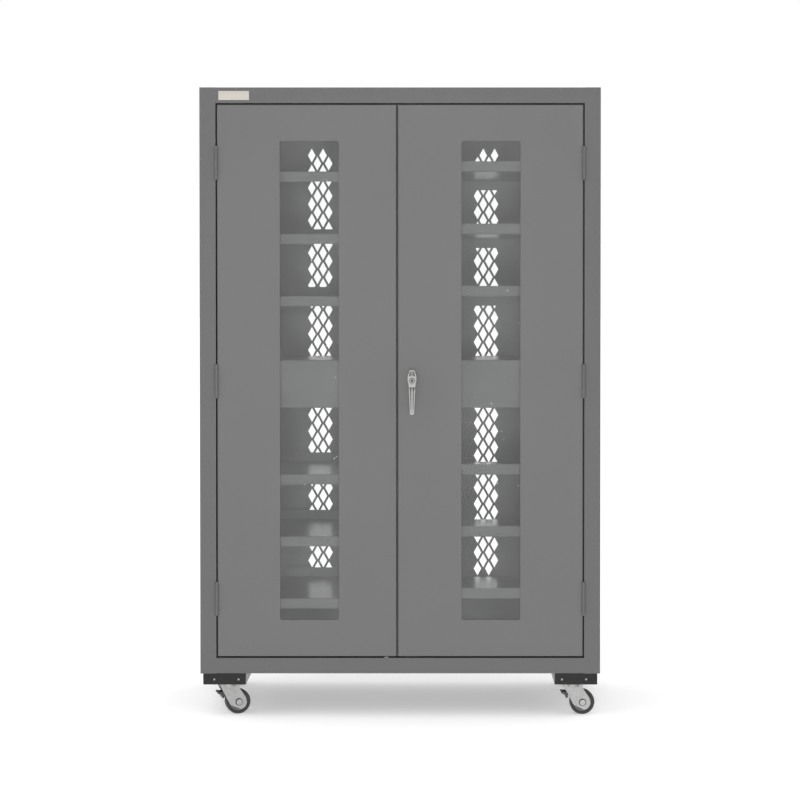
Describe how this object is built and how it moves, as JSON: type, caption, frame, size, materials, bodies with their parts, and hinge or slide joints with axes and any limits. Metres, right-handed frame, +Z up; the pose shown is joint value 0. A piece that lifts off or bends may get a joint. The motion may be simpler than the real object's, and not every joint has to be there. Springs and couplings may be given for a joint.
{
  "type": "mobile charging cabinet",
  "caption": "Two-door steel cabinet on swivel casters, with long clear windows, diamond-vented back, half-width shelves and power shelves.",
  "frame": {"origin": "floor under the middle of the footprint, handle included", "axes": "+X to the right seen from the front, -Y out of the doors, +Z up"},
  "size_m": [1.219, 0.652, 1.919],
  "materials": {
    "case_paint": "fine-textured mid grey powder coat",
    "inner_paint": "mid grey powder coat, inside",
    "zinc_steel": "bright zinc plate",
    "cast_zinc": "satin nickel plate on a zinc casting",
    "fork_zinc": "grey zinc plate",
    "black_paint": "satin black paint",
    "black_plastic": "fine matt black",
    "switch_plastic": "gloss",
    "clear_sheet": "clear polycarbonate",
    "bare_plate": "satin, blank",
    "wheel_rubber": "solid rubber on a grey core"
  },
  "bodies": {
    "case": {"left_side_panel": "case_paint", "right_side_panel": "case_paint", "top_panel": "case_paint", "bottom_panel": "case_paint", "back_panel": "inner_paint", "centre_partition": "inner_paint", "shelf_standards": "zinc_steel", "shelf_clips": "zinc_steel", "left_shelf_1": "inner_paint", "left_shelf_2": "inner_paint", "left_shelf_3": "inner_paint", "left_shelf_4": "inner_paint", "left_shelf_5": "inner_paint", "left_shelf_6": "inner_paint", "right_shelf_1": "inner_paint", "right_shelf_2": "inner_paint", "right_shelf_3": "inner_paint", "right_shelf_4": "inner_paint", "right_shelf_5": "inner_paint", "right_shelf_6": "inner_paint", "left_power_shelf": "inner_paint", "right_power_shelf": "inner_paint", "power_strips": "black_plastic", "cord_grommets": "black_plastic", "base_runners": "case_paint", "runner_end_plates": "black_paint", "base_bolts": "zinc_steel", "blank_plate": "bare_plate", "frame_hinge_leaves": "case_paint", "hinge_pins": "case_paint", "caster_plates": "zinc_steel"},
    "left_strip_switch": {"left_strip_switch": "switch_plastic"},
    "right_strip_switch": {"right_strip_switch": "switch_plastic"},
    "left_door": {"left_door": "case_paint", "left_window": "clear_sheet", "left_window_retainer": "inner_paint", "left_hinge_leaves": "case_paint", "left_bolt_housings": "zinc_steel"},
    "left_upper_bolt": {"left_upper_bolt": "zinc_steel"},
    "left_lower_bolt": {"left_lower_bolt": "zinc_steel"},
    "right_door": {"right_door": "case_paint", "right_window": "clear_sheet", "right_window_retainer": "inner_paint", "right_hinge_leaves": "case_paint", "rod_guides": "zinc_steel"},
    "handle": {"handle": "cast_zinc", "latch_cam": "zinc_steel"},
    "lock_plug": {"lock_plug": "cast_zinc"},
    "upper_latch_rod": {"upper_latch_rod": "zinc_steel"},
    "lower_latch_rod": {"lower_latch_rod": "zinc_steel"},
    "front_left_fork": {"front_left_fork": "fork_zinc"},
    "front_left_wheel": {"front_left_wheel": "wheel_rubber"},
    "front_right_fork": {"front_right_fork": "fork_zinc"},
    "front_right_wheel": {"front_right_wheel": "wheel_rubber"},
    "back_left_fork": {"back_left_fork": "fork_zinc"},
    "back_left_wheel": {"back_left_wheel": "wheel_rubber"},
    "back_right_fork": {"back_right_fork": "fork_zinc"},
    "back_right_wheel": {"back_right_wheel": "wheel_rubber"},
    "front_left_pedal": {"front_left_pedal": "black_plastic"},
    "front_right_pedal": {"front_right_pedal": "black_plastic"}
  },
  "joints": [
    {"name": "left_door_hinge", "type": "hinge", "parent": "case", "child": "left_door", "pos_m": [-0.55825, -0.28965, 1.0295], "axis": [0, 0, -1], "range_deg": [0, 180]},
    {"name": "right_door_hinge", "type": "hinge", "parent": "case", "child": "right_door", "pos_m": [0.55825, -0.28965, 1.0295], "axis": [0, 0, 1], "range_deg": [0, 180]},
    {"name": "handle_turn", "type": "hinge", "parent": "right_door", "child": "handle", "pos_m": [0.0364, -0.284, 1.0295], "axis": [0, -1, 0], "range_deg": [0, 90]},
    {"name": "lock_turn", "type": "hinge", "parent": "handle", "child": "lock_plug", "pos_m": [0.0364, -0.312, 1.0295], "axis": [0, -1, 0], "range_deg": [0, 90]},
    {"name": "upper_rod_slide", "type": "slide", "parent": "right_door", "child": "upper_latch_rod", "axis": [0, 0, 1], "range_m": [0, 0.018]},
    {"name": "lower_rod_slide", "type": "slide", "parent": "right_door", "child": "lower_latch_rod", "axis": [0, 0, -1], "range_m": [0, 0.018]},
    {"name": "left_upper_bolt_slide", "type": "slide", "parent": "left_door", "child": "left_upper_bolt", "axis": [0, 0, 1], "range_m": [0, 0.018]},
    {"name": "left_lower_bolt_slide", "type": "slide", "parent": "left_door", "child": "left_lower_bolt", "axis": [0, 0, -1], "range_m": [0, 0.018]},
    {"name": "front_left_swivel", "type": "hinge", "parent": "case", "child": "front_left_fork", "pos_m": [-0.53, -0.218, 0.087], "axis": [0, 0, 1], "continuous": true},
    {"name": "front_right_swivel", "type": "hinge", "parent": "case", "child": "front_right_fork", "pos_m": [0.53, -0.218, 0.087], "axis": [0, 0, 1], "continuous": true},
    {"name": "back_left_swivel", "type": "hinge", "parent": "case", "child": "back_left_fork", "pos_m": [-0.53, 0.26, 0.087], "axis": [0, 0, 1], "continuous": true},
    {"name": "back_right_swivel", "type": "hinge", "parent": "case", "child": "back_right_fork", "pos_m": [0.53, 0.26, 0.087], "axis": [0, 0, 1], "continuous": true},
    {"name": "front_left_roll", "type": "hinge", "parent": "front_left_fork", "child": "front_left_wheel", "pos_m": [-0.50337, -0.20935, 0.0381], "axis": [-0.309, 0.9511, 0], "continuous": true},
    {"name": "front_right_roll", "type": "hinge", "parent": "front_right_fork", "child": "front_right_wheel", "pos_m": [0.55796, -0.21654, 0.0381], "axis": [-0.0523, 0.9986, 0], "continuous": true},
    {"name": "back_left_roll", "type": "hinge", "parent": "back_left_fork", "child": "back_left_wheel", "pos_m": [-0.55793, 0.26195, 0.0381], "axis": [-0.0698, -0.9976, 0], "continuous": true},
    {"name": "back_right_roll", "type": "hinge", "parent": "back_right_fork", "child": "back_right_wheel", "pos_m": [0.55785, 0.25707, 0.0381], "axis": [0.1045, 0.9945, 0], "continuous": true},
    {"name": "front_left_brake", "type": "hinge", "parent": "front_left_fork", "child": "front_left_pedal", "pos_m": [-0.54141, -0.22171, 0.0661], "axis": [0.309, -0.9511, 0], "range_deg": [0, 20]},
    {"name": "front_right_brake", "type": "hinge", "parent": "front_right_fork", "child": "front_right_pedal", "pos_m": [0.51802, -0.21863, 0.0661], "axis": [0.0523, -0.9986, 0], "range_deg": [0, 20]},
    {"name": "left_switch_rock", "type": "hinge", "parent": "case", "child": "left_strip_switch", "pos_m": [-0.51828, -0.1986, 1.0511], "axis": [0, -1, 0], "range_deg": [0, 14]},
    {"name": "right_switch_rock", "type": "hinge", "parent": "case", "child": "right_strip_switch", "pos_m": [0.51828, -0.1986, 1.0511], "axis": [0, 1, 0], "range_deg": [0, 14]}
  ],
  "couplings": [
    {"joint": "upper_rod_slide", "follows": "handle_turn", "m_per_rad": 0.011459},
    {"joint": "lower_rod_slide", "follows": "handle_turn", "m_per_rad": 0.011459}
  ]
}
